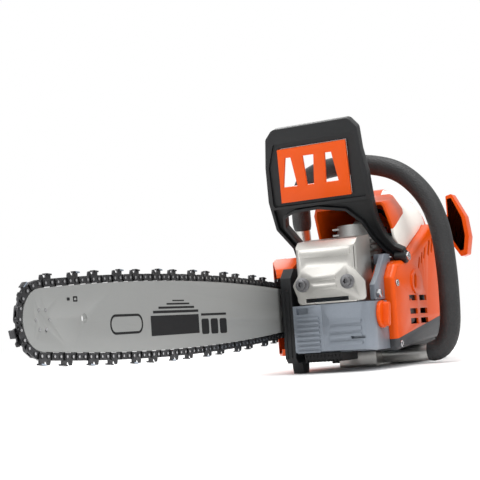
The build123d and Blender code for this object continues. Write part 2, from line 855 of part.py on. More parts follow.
with BuildPart() as muffler_body:
    with BuildSketch(side(shield_right - 3)):
        with BuildLine():
            Polyline((-115, 84), (-115, 133), (-104, 141), (-69, 144), (-69, 84), close=True)
        make_face()
    extrude(amount=shield_right - shield_left - 6)
    fillet(edges().filter_by(Axis.Y), 3)
    with BuildSketch(side(shield_right - 5)):
        with BuildLine():
            Polyline((-113, 86), (-113, 131), (-103, 138), (-71, 141), (-71, 86), close=True)
        make_face()
    extrude(amount=shield_right - shield_left - 10, mode=Mode.SUBTRACT)
    with BuildSketch(front(-46.3)):
        with Locations((0, exhaust_height)):
            Circle(13)
    extrude(amount=23.7)
    with BuildSketch(front(-46)):
        with Locations((0, exhaust_height)):
            Circle(10)
    extrude(amount=27, mode=Mode.SUBTRACT)
    with BuildSketch(front(-130)):
        with Locations(*muffler_bolt_places):
            Circle(muffler_bolt_radius + 0.3)
    extrude(amount=-90, mode=Mode.SUBTRACT)
    with BuildSketch(side(-20)):
        with Locations((-80, 112)):
            Circle(6)
    extrude(amount=30, mode=Mode.SUBTRACT)

with BuildPart() as muffler_bolts:
    with BuildSketch(front(shield_front - 2.1)):
        with Locations(*muffler_bolt_places):
            Circle(8)
    extrude(amount=1.4)
    with BuildSketch(front(shield_front - 3.4)):
        with Locations(*muffler_bolt_places):
            Circle(5.2)
            RegularPolygon(2.9, 6, mode=Mode.SUBTRACT)
    extrude(amount=5)
    with BuildSketch(front(shield_front - 3.4)):
        with Locations(*muffler_bolt_places):
            Circle(muffler_bolt_radius)
    extrude(amount=-(3.4 - shield_front - 36))

# ---------------------------------------------------------------- starter side
starter_profile = [(-66, 19), (-66, 100), (-50, 116), (-6, 124), (98, 169), (126, 166), (132, 120),
                   (130, 46), (117, 30)]
post_radius = 4.0
pulley_radius = 24.0
rope_radius = 1.8
rope_exit = (121, 160)
louvre_rows = (77.0, 61.5, 50.0)
with BuildPart() as starter_cover:
    with BuildSketch(side(starter_inner)):
        with BuildLine():
            Polyline(*starter_profile, close=True)
        make_face()
        fillet(vertices(), 5)
    extrude(amount=starter_inner - starter_outer)
    fillet(faces().sort_by(Axis.Y)[0].edges(), 5)
    with BuildSketch(side(starter_inner + 1)):
        with BuildLine():
            Polyline(*starter_profile, close=True)
        make_face()
        fillet(vertices(), 5)
        offset(amount=-cover_wall, mode=Mode.REPLACE)
    extrude(amount=starter_inner + 1 - starter_outer - cover_wall, mode=Mode.SUBTRACT)
    with BuildSketch(side(starter_outer)):
        with Locations((16, 96)):
            Ellipse(20, 15)
    extrude(amount=2)
    with BuildSketch(side(starter_outer - 3)):
        with Locations((8, 97)):
            SlotOverall(18, 9, rotation=70)
        for row in louvre_rows:
            with Locations((0, row), (38, row)):
                Rectangle(28, 6.5)
        for slot in range(3):
            with Locations(Location((34 + 12 * slot, 119 + 6 * slot), 62)):
                SlotOverall(16, 4)
        for slot in range(3):
            with Locations(Location((78 + 14 * slot, 138 + 4 * slot), 62)):
                SlotOverall(22, 6)
    extrude(amount=-8, mode=Mode.SUBTRACT)
    with BuildSketch(side(starter_outer + cover_wall)):
        with Locations(crank):
            Circle(post_radius)
    extrude(amount=-7)
    with BuildSketch(side(starter_outer)):
        with Locations(rope_exit):
            Circle(7)
    extrude(amount=3)
    with BuildSketch(side(starter_outer - 4)):
        with Locations(rope_exit):
            Circle(rope_radius + 0.7)
        with Locations((rope_exit[0] - 3, rope_exit[1] - 2.5)):
            Circle(5)
    extrude(amount=-10, mode=Mode.SUBTRACT)
    with BuildSketch(side(starter_outer - 1)):
        with Locations((guard_pivot_x, guard_pivot_z)):
            Circle(8.5)
    extrude(amount=starter_outer - starter_inner - 5, mode=Mode.SUBTRACT)

pulley_face = starter_outer + 9.8
with BuildPart() as recoil_pulley:
    with BuildSketch(side(pulley_face)):
        with Locations(crank):
            Circle(pulley_radius)
    extrude(amount=6.6)
    with BuildSketch(side(pulley_face - 1.8)):
        with Locations(crank):
            Circle(pulley_radius + 1)
            Circle(pulley_radius - 6, mode=Mode.SUBTRACT)
    extrude(amount=4, mode=Mode.SUBTRACT)
    with BuildSketch(side(pulley_face + 1.2)):
        with Locations(crank):
            Circle(post_radius + 0.05)
    extrude(amount=10, mode=Mode.SUBTRACT)
    with BuildSketch(side(pulley_face - 3.3)):
        with Locations(crank):
            Circle(15.5)
            Circle(6.5, mode=Mode.SUBTRACT)
    extrude(amount=6, mode=Mode.SUBTRACT)

with BuildPart() as recoil_spring:
    with BuildSketch(side(pulley_face - 3.7)):
        with Locations(crank):
            for turn in range(5):
                Circle(14.8 - 1.6 * turn)
                Circle(14.2 - 1.6 * turn, mode=Mode.SUBTRACT)
            with Locations((11.2, 0)):
                Rectangle(7.6, 0.6)
    extrude(amount=2.9)

rope_plane = starter_outer + 6
rope_points = [(0, rope_plane, shaft_height + pulley_radius - 2.5),
               (rope_exit[0] - 9, rope_plane, rope_exit[1] - 6), (rope_exit[0], rope_plane - 7, rope_exit[1]),
               (rope_exit[0], starter_outer - 13, rope_exit[1])]
with BuildPart() as starter_rope:
    with BuildLine() as rope_line:
        FilletPolyline(*rope_points, radius=3)
    with BuildSketch(Plane(origin=rope_points[0], z_dir=Vector(*rope_points[1]) - Vector(*rope_points[0]))):
        Circle(rope_radius)
    sweep()

# Outline of the starter grip: distance outwards from the cover, height
starter_grip_outline = [(4.5, 150), (4.5, 172), (15, 180), (15, 204), (23, 206), (38, 176), (41, 150), (37, 128),
                        (29, 126), (19, 142)]
with BuildPart() as starter_grip:
    with BuildSketch(Plane(origin=(rope_exit[0] + 7, 0, 0), x_dir=(0, 1, 0), z_dir=(1, 0, 0))):
        with BuildLine():
            Polyline(*[(starter_outer - reach, height) for reach, height in starter_grip_outline], close=True)
        make_face()
        fillet(vertices(), 2)
    extrude(amount=9, both=True)
    with BuildSketch(side(starter_outer + 1)):
        with Locations(rope_exit):
            Circle(rope_radius + 0.05)
    extrude(amount=14.1, mode=Mode.SUBTRACT)

# ---------------------------------------------------------------- shroud and top cover
with BuildPart() as cylinder_shroud:
    with BuildSketch(side(-44)):
        with BuildLine():
            Polyline((-98, tank_top + 1.4), (-66.6, tank_top + 1.4), (-66.6, 101), (-50.4, 117.2),
                     (-40, 119.2), (-40, 128), (-60, 127), (-82, 105), (-98, 93), close=True)
        make_face()
    extrude(amount=6)
    with BuildSketch(side(-36)):
        with BuildLine():
            Polyline((-56, 116.8), (-50.4, 117.2), (-40, 119.2), (-40, 128), (-56, 128), close=True)
        make_face()
    extrude(amount=14)
    with BuildSketch(side(-36)):
        with BuildLine():
            Polyline((-42, 120), (-24, 122.5), (-21, 127.2), (-42, 126.2), close=True)
        make_face()
        with Locations((guard_pivot_x, guard_pivot_z)):
            Circle(6)
    extrude(amount=5)
    with BuildSketch(side(-30)):
        with Locations((guard_pivot_x, guard_pivot_z)):
            Circle(3.05)
    extrude(amount=40, mode=Mode.SUBTRACT)


def across(x):
    """Plane facing +X at the given X, with +Y to the right and Z up."""
    return Plane(origin=(x, 0, 0), x_dir=(0, 1, 0), z_dir=(1, 0, 0))


choke_place = (-26, 126)
with BuildPart() as cover_hollow:
    with BuildSketch(side(top_right)):
        with BuildLine():
            Polyline((-60, 60), (-60, 186), (-24, 187), (34, 196), (54, top_height - 6),
                     (68, top_height - 3), (102, 197), (116, 168),
                     (115, 60), close=True)
        make_face()
    extrude(amount=top_right - top_left)
    with BuildSketch(across(-70)):
        with BuildLine():
            Polyline((top_left + 3, 50), (top_left + 3, 161), (-42.5, 184), (-30, 201.5), (-11, top_height - 3),
                     (17, top_height - 3), (32, 201.5), (top_right - 3, 181), (top_right - 3, 50), close=True)
        make_face()
    extrude(amount=220, mode=Mode.INTERSECT)
    with BuildSketch(front(90)):
        with Locations(choke_place):
            Circle(2.3)
    extrude(amount=-40)

with BuildPart() as cover_shell:
    with BuildSketch(side(top_right)):
        with BuildLine():
            Polyline((-15.5, 148), (-31.5, 190), (34, 199), (54, top_height - 3), (68, top_height),
                     (104, 200), (119, 168), (118, 112),
                     (-6, 112), (-6, 142), close=True)
        make_face()
    extrude(amount=top_right - top_left)
    with BuildSketch(across(-60)):
        with BuildLine():
            Polyline((top_left, 100), (top_left, 162), (-45, 186), (-32, 204), (-12, top_height),
                     (18, top_height), (34, 204), (top_right, 182), (top_right, 100), close=True)
        make_face()
    extrude(amount=200, mode=Mode.INTERSECT)
    add(cover_hollow.part, mode=Mode.SUBTRACT)
    with BuildSketch(side(starter_inner + 1)):
        with BuildLine():
            Polyline(*starter_profile, close=True)
        make_face()
        offset(amount=0.4)
    extrude(amount=40, mode=Mode.SUBTRACT)
    with BuildSketch(side(-40)):
        with BuildLine():
            Polyline((-60, 100), (-60, 160), (-35, 147), (-5, 143), (-5, 100), close=True)
        make_face()
    extrude(amount=20, mode=Mode.SUBTRACT)

with BuildPart() as panel_region:
    with BuildSketch(side(-16)):
        with BuildLine():
            Polyline((50, 225), (44, 204), (34, 180), (-30, 154), (-47, 140), (-47, 100), (112, 100), (112, 188),
                     (84, 225), close=True)
        make_face()
    extrude(amount=60)

with BuildPart() as top_cover:
    add(cover_shell.part)
    add(panel_region.part, mode=Mode.SUBTRACT)

with BuildPart() as cover_panel:
    add(cover_shell.part)
    add(panel_region.part, mode=Mode.INTERSECT)

# ---------------------------------------------------------------- air and fuel
with BuildPart() as intake_boot:
    with BuildSketch(front(46.3)):
        with Locations((0, intake_height)):
            RectangleRounded(36, 24, 5)
            Circle(9, mode=Mode.SUBTRACT)
    extrude(amount=-4)
    with BuildSketch(front(50)):
        with Locations((0, intake_height)):
            Circle(12)
            Circle(9, mode=Mode.SUBTRACT)
    extrude(amount=-12)

with BuildPart() as carburettor:
    with BuildSketch(front(62.2)):
        with Locations((0, intake_height)):
            RectangleRounded(38, 36, 3)
    extrude(amount=-26)
    with BuildSketch(side(24)):
        with Locations((75, intake_height + 4)):
            Circle(5)
    extrude(amount=48)
    with BuildSketch(front(60)):
        with Locations((0, intake_height)):
            Circle(9)
    extrude(amount=-40, mode=Mode.SUBTRACT)

with BuildPart() as air_filter:
    with BuildSketch(front(88.5)):
        with Locations((0, 134)):
            RectangleRounded(64, 56, 8)
    extrude(amount=-17)
    with BuildSketch(front(88)):
        with Locations((0, intake_height)):
            Circle(9)
    extrude(amount=-12, mode=Mode.SUBTRACT)
    for groove in range(7):
        with BuildSketch(front(94)):
            with Locations((-27 + 9 * groove, 134)):
                Rectangle(3, 60)
        extrude(amount=-30, mode=Mode.SUBTRACT)

# ---------------------------------------------------------------- hand guard
guard_corner = 7.0
arch_level = 79.0
guard_plane = Plane(origin=(-15, 0, 121), x_dir=(0, 1, 0),
                    z_dir=(cos(radians(guard_lean)), 0, sin(radians(guard_lean))))
guard_outline = [(-37, 164), (-28, 176), (67, 175), (77, 165), (85, 131), (91, 89), (89, 54), (73, 29),
                 (71, 10), (58, 10), (62, 32), (76, 56), (74, 68), (60, 73), (30, 74), (-2, 68), (-18, 52),
                 (-28, 30), (-38, 16), (-50, 3), (-62, 2), (-62, 14), (-52, 20), (-44, 33), (-38, 54),
                 (-37, 75), (-38, 111), (-36, 138)]


def guard_face(inset=0):
    """Outline of the hand guard with rounded corners, drawn in from its edge."""
    with BuildSketch() as face:
        with BuildLine():
            Polyline(*guard_outline, close=True)
        make_face()
        fillet(vertices().filter_by(lambda corner: corner.Y < arch_level), 2.5)
        fillet(vertices().filter_by(lambda corner: corner.Y > arch_level and corner.Y > 100), guard_corner)
        if inset:
            offset(amount=-inset, mode=Mode.REPLACE)
    return face.sketch


recess_outline = [(69, 158), (-31, 159), (-32, 111), (-32, 83), (86, 82), (81, 130)]
window_outline = [(66, 151), (-20, 152), (-14, 87), (75, 86)]
slot_outlines = [
    [(51, 140), (58, 140), (68, 105), (50, 105)],
    [(22, 140), (36, 140), (38, 105), (29, 105)],
    [(0, 140), (8, 140), (14, 105), (-2, 105)],
]
with BuildPart() as hand_guard:
    with BuildSketch(guard_plane.offset(-guard_depth / 2)):
        add(guard_face())
    extrude(amount=guard_depth)
    with BuildSketch(guard_plane.offset(-guard_depth / 2)):
        add(guard_face(guard_wall))
    extrude(amount=guard_depth - guard_web, mode=Mode.SUBTRACT)
    with BuildSketch(guard_plane.offset(-guard_depth / 2)):
        add(guard_face())
        with BuildLine():
            Polyline((-60, arch_level), (-60, 200), (120, 200), (120, arch_level), close=True)
        make_face(mode=Mode.INTERSECT)
    extrude(amount=guard_depth - guard_web)
    with BuildSketch(guard_plane.offset(-guard_depth / 2)):
        with BuildLine():
            Polyline(*recess_outline, close=True)
        make_face()
        fillet(vertices(), 3)
    extrude(amount=recess_depth, mode=Mode.SUBTRACT)
    with BuildSketch(guard_plane.offset(-guard_depth)):
        with BuildLine():
            Polyline(*window_outline, close=True)
        make_face()
    extrude(amount=3 * guard_depth, mode=Mode.SUBTRACT)
    for low, high in ((-63.5, -50.6), (56.5, 70)):
        with BuildSketch(side(high)):
            with Locations((guard_pivot_x, guard_pivot_z)):
                Circle(7.5)
        extrude(amount=high - low)
    with BuildSketch(side(90)):
        with Locations((guard_pivot_x, guard_pivot_z)):
            Circle(3.05)
    extrude(amount=180, mode=Mode.SUBTRACT)

with BuildPart() as guard_insert:
    with BuildSketch(guard_plane.offset(-guard_depth / 2 + 0.5)):
        with BuildLine():
            Polyline(*window_outline, close=True)
        make_face()
        offset(amount=-0.15, mode=Mode.REPLACE)
        for outline in slot_outlines:
            with BuildLine():
                Polyline(*outline, close=True)
            make_face(mode=Mode.SUBTRACT)
    extrude(amount=4)

with BuildPart() as screws_and_pins:
    for place, radius in control_pins:
        with BuildSketch(side(rear_handle_half - pin_inset)):
            with Locations(place):
                Circle(radius)
        extrude(amount=2 * (rear_handle_half - pin_inset))
    with BuildSketch(side(-63.6)):
        with Locations((guard_pivot_x, guard_pivot_z)):
            Circle(5)
            RegularPolygon(2.4, 6, mode=Mode.SUBTRACT)
    extrude(amount=3)
    with BuildSketch(side(-38.5)):
        with Locations((guard_pivot_x, guard_pivot_z)):
            Circle(3)
    extrude(amount=26)
    with BuildSketch(side(76)):
        with Locations((guard_pivot_x, guard_pivot_z)):
            Circle(3)
    extrude(amount=21)
    with BuildSketch(side(-50.2)):
        with Locations((-92, 83)):
            RegularPolygon(5, 6)
    extrude(amount=5)
    for spot in ((-56, 26), (-56, 94), (108, 40), (112, 150)):
        with BuildSketch(side(starter_outer - 0.1)):
            with Locations(spot):
                Circle(4)
                RegularPolygon(2, 6, mode=Mode.SUBTRACT)
        extrude(amount=2)

# ---------------------------------------------------------------- handles
handle_points = [(handle_plane, 30, grip_radius), (handle_plane, -86, grip_radius), (handle_plane, -98, 62),
                 (handle_plane, -98, 120), (handle_plane, -88, 182), (handle_plane, -46, 235),
                 (handle_plane, 22, 247), (handle_plane + 4, 82, 236), (62, 98, 192), (66, 98, 112),
                 (72, 70, 66), (76, 50, 62)]
handle_radii = [22, 60, 90, 70, 70, 90, 38, 40, 46, 14]
grip_start = (handle_plane, -60, grip_radius)
grip_end = (64.5, 98, 142)
with BuildPart() as front_handle:
    with BuildLine() as handle_line:
        FilletPolyline(*handle_points, radius=handle_radii)
    with BuildSketch(Plane(origin=handle_points[0], z_dir=(0, -1, 0))):
        Circle(tube_radius)
        Circle(tube_radius - 2, mode=Mode.SUBTRACT)
    sweep()

with BuildPart() as handle_grip:
    with BuildLine() as grip_line:
        FilletPolyline(grip_start, *handle_points[1:9], grip_end, radius=handle_radii[:8])
    with BuildSketch(Plane(origin=grip_start, z_dir=(0, -1, 0))):
        Circle(grip_radius)
        Circle(tube_radius + 0.05, mode=Mode.SUBTRACT)
    sweep()

with BuildPart() as handle_bracket:
    with BuildSketch(side(32)):
        with Locations((15, 9.9)):
            RectangleRounded(54, 19.8, 3)
    extrude(amount=46)
    with BuildSketch(side(40)):
        with Locations((handle_plane, grip_radius)):
            Circle(tube_radius + 0.05)
    extrude(amount=60, mode=Mode.SUBTRACT)

fuel_cap_place = (147, 56)
with BuildPart() as rear_handle:
    with BuildSketch(side(case_right)):
        with BuildLine():
            Polyline((66, 18), (66, 104), (118.4, 104), (164, 96), (164, 14), close=True)
        make_face()
    extrude(amount=case_right + 34)
    fillet(edges().filter_by(Axis.Y), 5)
    with BuildSketch(side(rear_handle_half)):
        with BuildLine():
            Polyline((119, 60), (119, 152), (150, 160), (256, 142), (288, 112), (292, 80), (290, 14),
                     (280, 0), (150, 0), (120, 14), close=True)
        make_face()
        fillet(vertices(), 5)
        with BuildLine():
            Polyline((170, 38), (170, 106), (182, 118), (246, 108), (262, 90), (262, 34), (250, 24), (184, 24),
                     close=True)
        make_face(mode=Mode.SUBTRACT)
    extrude(amount=2 * rear_handle_half)
    with BuildSketch(Plane.XY.offset(6)):
        with Locations((76.5, -4)):
            Rectangle(179, 90)
    extrude(amount=8.5)
    with BuildSketch(side(33)):
        with Locations((15, 10)):
            Rectangle(56, 24)
    extrude(amount=90, mode=Mode.SUBTRACT)
    with BuildSketch(Plane.XY.offset(40)):
        with Locations((110, 2)):
            Rectangle(76, 60)
    extrude(amount=50, mode=Mode.SUBTRACT)
    with BuildSketch(side(6)):
        with Locations((196, 118)):
            Rectangle(60, 28)
        with Locations((222, 142)):
            Rectangle(42, 22)
    extrude(amount=12, mode=Mode.SUBTRACT)
    with BuildSketch(side(-24)):
        with Locations(fuel_cap_place):
            Circle(oil_neck_radius)
    extrude(amount=14, mode=Mode.SUBTRACT)
    with BuildSketch(Plane.XY.offset(144)):
        with Locations((138, 0)):
            Rectangle(20, 12)
    extrude(amount=30, mode=Mode.SUBTRACT)
    for place, radius in control_pins:
        with BuildSketch(side(0)):
            with Locations(place):
                Circle(radius + pin_gap)
        extrude(amount=rear_handle_half + 1, both=True, mode=Mode.SUBTRACT)

cap_radius = 15.0


def cap(place, wall):
    """Winged screw cap seated on a wall that faces -Y."""
    with BuildPart() as whole_cap:
        with BuildSketch(side(wall - 0.3)):
            with Locations(place):
                Circle(cap_radius)
        extrude(amount=4)
        fillet(faces().sort_by(Axis.Y)[0].edges(), 1.5)
        with BuildSketch(side(wall - 0.3)):
            with Locations(Location(place, 78)):
                SlotOverall(27, 8)
        extrude(amount=10)
        with BuildSketch(side(wall + 9)):
            with Locations(place):
                Circle(oil_neck_radius - 0.3)
        extrude(amount=10)
    return whole_cap.part


with BuildPart() as oil_cap:
    add(cap(oil_cap_place, case_left))

with BuildPart() as fuel_cap:
    add(cap(fuel_cap_place, -34))



def control(outline, pin, boss):
    """Pressed or rocked control: an outline with a round boss and a hole for its pin."""
    place, radius = pin
    with BuildPart() as body:
        with BuildSketch(side(control_half)):
            with BuildLine():
                Polyline(*outline, close=True)
            make_face()
            with Locations(place):
                Circle(boss)
                Circle(radius + pin_gap, mode=Mode.SUBTRACT)
        extrude(amount=2 * control_half)
    return body


throttle_trigger = control([(181, 112), (189, 115), (216, 117), (220, 112), (206, 96), (196, 84), (190, 84),
                            (190, 98)], control_pins[0], 6)
trigger_lockout = control([(204, 137), (206, 150), (216, 157), (236, 152), (240, 140), (236, 138)],
                          control_pins[1], 4.4)
stop_switch = control([(129.5, 150), (130, 158), (138, 160), (146, 165), (146.5, 150)], control_pins[2], 4)

with BuildPart() as choke_knob:
    with BuildSketch(front(111)):
        with Locations(choke_place):
            Circle(2)
    extrude(amount=-16)
    with BuildSketch(front(118.8)):
        with Locations(choke_place):
            RectangleRounded(14, 10, 3)
    extrude(amount=-9)

with BuildPart() as av_mounts:
    for y, z in ((-20, 60), (30, 60), (0, 30)):
        with BuildSketch(front(case_rear + 0.1)):
            with Locations((-y, z)):
                Circle(8)
        extrude(amount=-3.8)

pieces = {
    "drive_links": drive_links, "tie_straps": tie_straps, "cutters": cutters, "guide_bar": guide_bar,
    "nose_sprocket": nose_sprocket, "nose_rivets": nose_rivets, "crankcase_right": crankcase_right,
    "crankcase_left": crankcase_left, "front_pad": front_pad, "cylinder": cylinder, "piston": piston,
    "piston_rings": piston_rings, "wrist_pin": wrist_pin, "connecting_rod": connecting_rod,
    "crankpin": crankpin, "crankshaft": crankshaft, "main_bearings": main_bearings, "flywheel": flywheel,
    "ignition_coil": ignition_coil, "spark_plug": spark_plug, "plug_boot": plug_boot, "plug_lead": plug_lead,
    "clutch_drum": clutch_drum, "clutch_hub": clutch_hub, "clutch_shoes": clutch_shoes,
    "brake_band": brake_band, "oil_pump": oil_pump, "clutch_housing": clutch_housing, "bar_studs": bar_studs,
    "bar_nuts": bar_nuts, "chain_tensioner": chain_tensioner, "clutch_cover": clutch_cover,
    "muffler_shield": muffler_shield, "muffler_body": muffler_body, "muffler_bolts": muffler_bolts,
    "starter_cover": starter_cover, "recoil_pulley": recoil_pulley, "recoil_spring": recoil_spring,
    "starter_rope": starter_rope, "starter_grip": starter_grip, "cylinder_shroud": cylinder_shroud,
    "top_cover": top_cover, "cover_panel": cover_panel, "intake_boot": intake_boot,
    "carburettor": carburettor, "air_filter": air_filter, "hand_guard": hand_guard,
    "guard_insert": guard_insert, "screws_and_pins": screws_and_pins, "front_handle": front_handle,
    "handle_grip": handle_grip, "handle_bracket": handle_bracket, "rear_handle": rear_handle,
    "oil_cap": oil_cap, "fuel_cap": fuel_cap, "throttle_trigger": throttle_trigger,
    "trigger_lockout": trigger_lockout, "stop_switch": stop_switch, "choke_knob": choke_knob,
    "av_mounts": av_mounts,
}
for label, piece in pieces.items():
    piece.part.label = label
    export_step(piece.part, f"parts/{label}.step")
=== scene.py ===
import bmesh
import bpy
import json
import math
from mathutils import Matrix, Vector


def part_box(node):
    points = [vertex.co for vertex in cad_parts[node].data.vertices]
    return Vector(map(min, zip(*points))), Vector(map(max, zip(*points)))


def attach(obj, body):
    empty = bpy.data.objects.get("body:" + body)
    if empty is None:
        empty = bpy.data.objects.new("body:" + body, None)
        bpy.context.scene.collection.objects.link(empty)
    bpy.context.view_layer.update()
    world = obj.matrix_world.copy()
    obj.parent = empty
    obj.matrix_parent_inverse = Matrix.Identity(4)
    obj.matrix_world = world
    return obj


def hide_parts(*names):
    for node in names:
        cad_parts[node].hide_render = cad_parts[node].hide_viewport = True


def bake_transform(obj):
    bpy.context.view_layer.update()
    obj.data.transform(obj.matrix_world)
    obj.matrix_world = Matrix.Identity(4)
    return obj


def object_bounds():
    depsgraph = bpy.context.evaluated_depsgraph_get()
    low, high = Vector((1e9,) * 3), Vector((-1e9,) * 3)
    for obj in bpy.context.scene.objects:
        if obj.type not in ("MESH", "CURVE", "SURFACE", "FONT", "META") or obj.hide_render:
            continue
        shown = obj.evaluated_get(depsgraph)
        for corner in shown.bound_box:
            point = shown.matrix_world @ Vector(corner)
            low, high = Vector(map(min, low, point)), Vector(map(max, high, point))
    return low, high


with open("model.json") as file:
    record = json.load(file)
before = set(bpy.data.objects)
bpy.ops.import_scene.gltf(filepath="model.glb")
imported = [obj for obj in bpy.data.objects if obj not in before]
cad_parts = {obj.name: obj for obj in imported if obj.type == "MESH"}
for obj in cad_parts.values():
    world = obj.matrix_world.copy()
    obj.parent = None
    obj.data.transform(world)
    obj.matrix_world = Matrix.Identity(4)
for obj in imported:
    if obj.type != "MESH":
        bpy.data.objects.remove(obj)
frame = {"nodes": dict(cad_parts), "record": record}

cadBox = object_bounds()
scene = bpy.context.scene
nodeSlots = {part["node"]: part["material_slot"] for part in frame["record"]["subparts"]}
nodeBodies = {node: body for body, nodes in frame["record"]["behaviour"]["bodies"].items() for node in nodes}
print("frame loaded:", len(nodeSlots), "nodes")


# camera, lights and floor
camera = {
    "place": (-1.2519, -0.4600, 0.0544),
    "right": (0.446930, -0.891892, -0.069154),
    "up": (-0.040594, -0.097445, 0.994412),
    "ahead": (0.893647, 0.441625, 0.079757),
    "lens": 83.28,
    "sensor": 36.0,
    "nearest": 0.01,
}


def makeCamera(settings):
    bpy.ops.object.camera_add(location=(0, 0, 0))
    eye = bpy.context.object
    eye.name = "studioCamera"
    rows = [Vector(settings["right"]), Vector(settings["up"]), -Vector(settings["ahead"])]
    turn = Matrix(rows).transposed().to_4x4()
    eye.matrix_world = Matrix.Translation(settings["place"]) @ turn
    eye.data.lens = settings["lens"]
    eye.data.sensor_width = settings["sensor"]
    eye.data.clip_start = settings["nearest"]
    scene.camera = eye
    return eye


studio = {
    "skyStrength": 1.35,
    "skyBands": [(0.0, 0.25), (0.47, 0.30), (0.60, 0.42), (0.80, 0.85), (1.0, 1.0)],
    "lights": [
        {"name": "keyLight", "place": (-0.9, -1.5, 1.3), "size": 0.8, "watts": 6},
        {"name": "topLight", "place": (-0.1, -0.2, 1.6), "size": 0.8, "watts": 12},
        {"name": "noseLight", "place": (-1.5, 0.7, 0.9), "size": 0.7, "watts": 5},
        {"name": "rimLight", "place": (1.2, 0.9, 1.1), "size": 0.8, "watts": 5},
    ],
    "aim": (-0.1, 0.0, 0.12),
    "floorSize": 12.0,
    "floorGap": 0.0005,
    "floorShade": 0.93,
    "floorRoughness": 0.9,
}


def makeStudio(settings):
    world = bpy.data.worlds.new("studioWorld")
    scene.world = world
    world.use_nodes = True
    tree = world.node_tree
    tree.nodes.clear()
    where = tree.nodes.new("ShaderNodeTexCoord")
    parts = tree.nodes.new("ShaderNodeSeparateXYZ")
    tree.links.new(where.outputs["Generated"], parts.inputs[0])
    ramp = tree.nodes.new("ShaderNodeValToRGB")
    while len(ramp.color_ramp.elements) < len(settings["skyBands"]):
        ramp.color_ramp.elements.new(0.5)
    for stop, (height, shade) in zip(ramp.color_ramp.elements, settings["skyBands"]):
        stop.position = height
        stop.color = (shade, shade, shade, 1)
    lift = tree.nodes.new("ShaderNodeMath")
    lift.operation = "MULTIPLY_ADD"
    lift.inputs[1].default_value = 0.5
    lift.inputs[2].default_value = 0.5
    tree.links.new(parts.outputs["Z"], lift.inputs[0])
    tree.links.new(lift.outputs[0], ramp.inputs[0])
    soft = tree.nodes.new("ShaderNodeBackground")
    soft.inputs["Strength"].default_value = settings["skyStrength"]
    tree.links.new(ramp.outputs["Color"], soft.inputs["Color"])
    plain = tree.nodes.new("ShaderNodeBackground")
    plain.inputs["Color"].default_value = (1, 1, 1, 1)
    path = tree.nodes.new("ShaderNodeLightPath")
    mix = tree.nodes.new("ShaderNodeMixShader")
    tree.links.new(path.outputs["Is Camera Ray"], mix.inputs[0])
    tree.links.new(soft.outputs[0], mix.inputs[1])
    tree.links.new(plain.outputs[0], mix.inputs[2])
    output = tree.nodes.new("ShaderNodeOutputWorld")
    tree.links.new(mix.outputs[0], output.inputs["Surface"])
    for lamp in settings["lights"]:
        bpy.ops.object.light_add(type="AREA", location=lamp["place"])
        light = bpy.context.object
        light.name = lamp["name"]
        light.data.shape = "DISK"
        light.data.size = lamp["size"]
        light.data.energy = lamp["watts"]
        aim = Vector(settings["aim"]) - Vector(lamp["place"])
        light.rotation_euler = aim.to_track_quat("-Z", "Y").to_euler()
    bpy.ops.mesh.primitive_plane_add(size=settings["floorSize"], location=(0, 0, 0))
    floor = bpy.context.object
    floor.name = "studioFloor"
    floor.location.z = cadBox[0].z - settings["floorGap"]
    bpy.ops.object.transform_apply(location=True)
    floorMaterial = bpy.data.materials.new("paleFloor")
    floorMaterial.use_nodes = True
    shader = floorMaterial.node_tree.nodes["Principled BSDF"]
    shader.inputs["Base Color"].default_value = (*[settings["floorShade"]] * 3, 1)
    shader.inputs["Roughness"].default_value = settings["floorRoughness"]
    floor.data.materials.append(floorMaterial)


makeCamera(camera)
makeStudio(studio)
scene.view_settings.view_transform = "Standard"
print("studio ready")


# node groups shared by the materials
def newGroup(name, inputs, outputs):
    group = bpy.data.node_groups.new(name, "ShaderNodeTree")
    for label, kind, value in inputs:
        socket = group.interface.new_socket(label, in_out="INPUT", socket_type="NodeSocket" + kind)
        socket.default_value = value
    for label, kind in outputs:
        group.interface.new_socket(label, in_out="OUTPUT", socket_type="NodeSocket" + kind)
    return group, group.nodes.new("NodeGroupInput"), group.nodes.new("NodeGroupOutput")


def addMath(group, operation, first, second):
    step = group.nodes.new("ShaderNodeMath")
    step.operation = operation
    for socket, value in zip(step.inputs, (first, second)):
        if isinstance(value, (int, float)):
            socket.default_value = value
        else:
            group.links.new(value, socket)
    return step.outputs[0]


# fine grain and broad cloud noise: colour, roughness and bump
finishNoise = {"grainDetail": 3, "cloudDetail": 5, "cloudRoughness": 0.6, "tintGain": 2.6, "bumpDistance": 0.0004}


